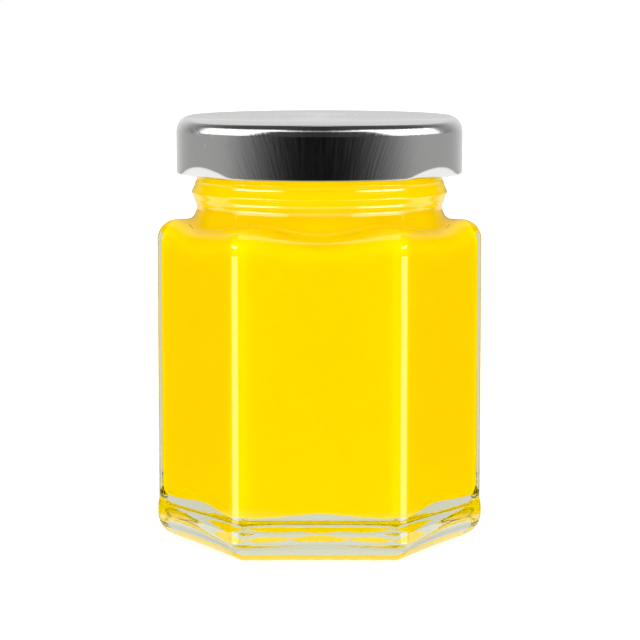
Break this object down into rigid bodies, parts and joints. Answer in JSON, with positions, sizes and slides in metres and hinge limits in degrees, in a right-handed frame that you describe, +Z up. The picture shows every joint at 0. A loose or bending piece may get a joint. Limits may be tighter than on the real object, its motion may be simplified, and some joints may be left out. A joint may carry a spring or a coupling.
{
  "type": "hexagonal glass jar",
  "caption": "Hexagonal glass jar with rounded corners, a carrying bead on its neck, a smooth yellow cream filling and a twist-off metal lid.",
  "frame": {"origin": "on the table, under the middle of the jar, at the centre of its bearing ring", "axes": "+Z up along the axis of the neck; one flat face of the jar looks to -Y, and two of its corners lie on the X axis"},
  "size_m": [0.07, 0.0616, 0.0909],
  "materials": {
    "clear_glass": "fire-polished clear glass",
    "yellow_cream": "smooth opaque cream pressed against the glass",
    "brushed_tinplate": "satin, with fine brush lines across the skirt"
  },
  "bodies": {
    "root": {"glass_jar": "clear_glass", "filling": "yellow_cream", "lid": "brushed_tinplate"}
  },
  "joints": []
}
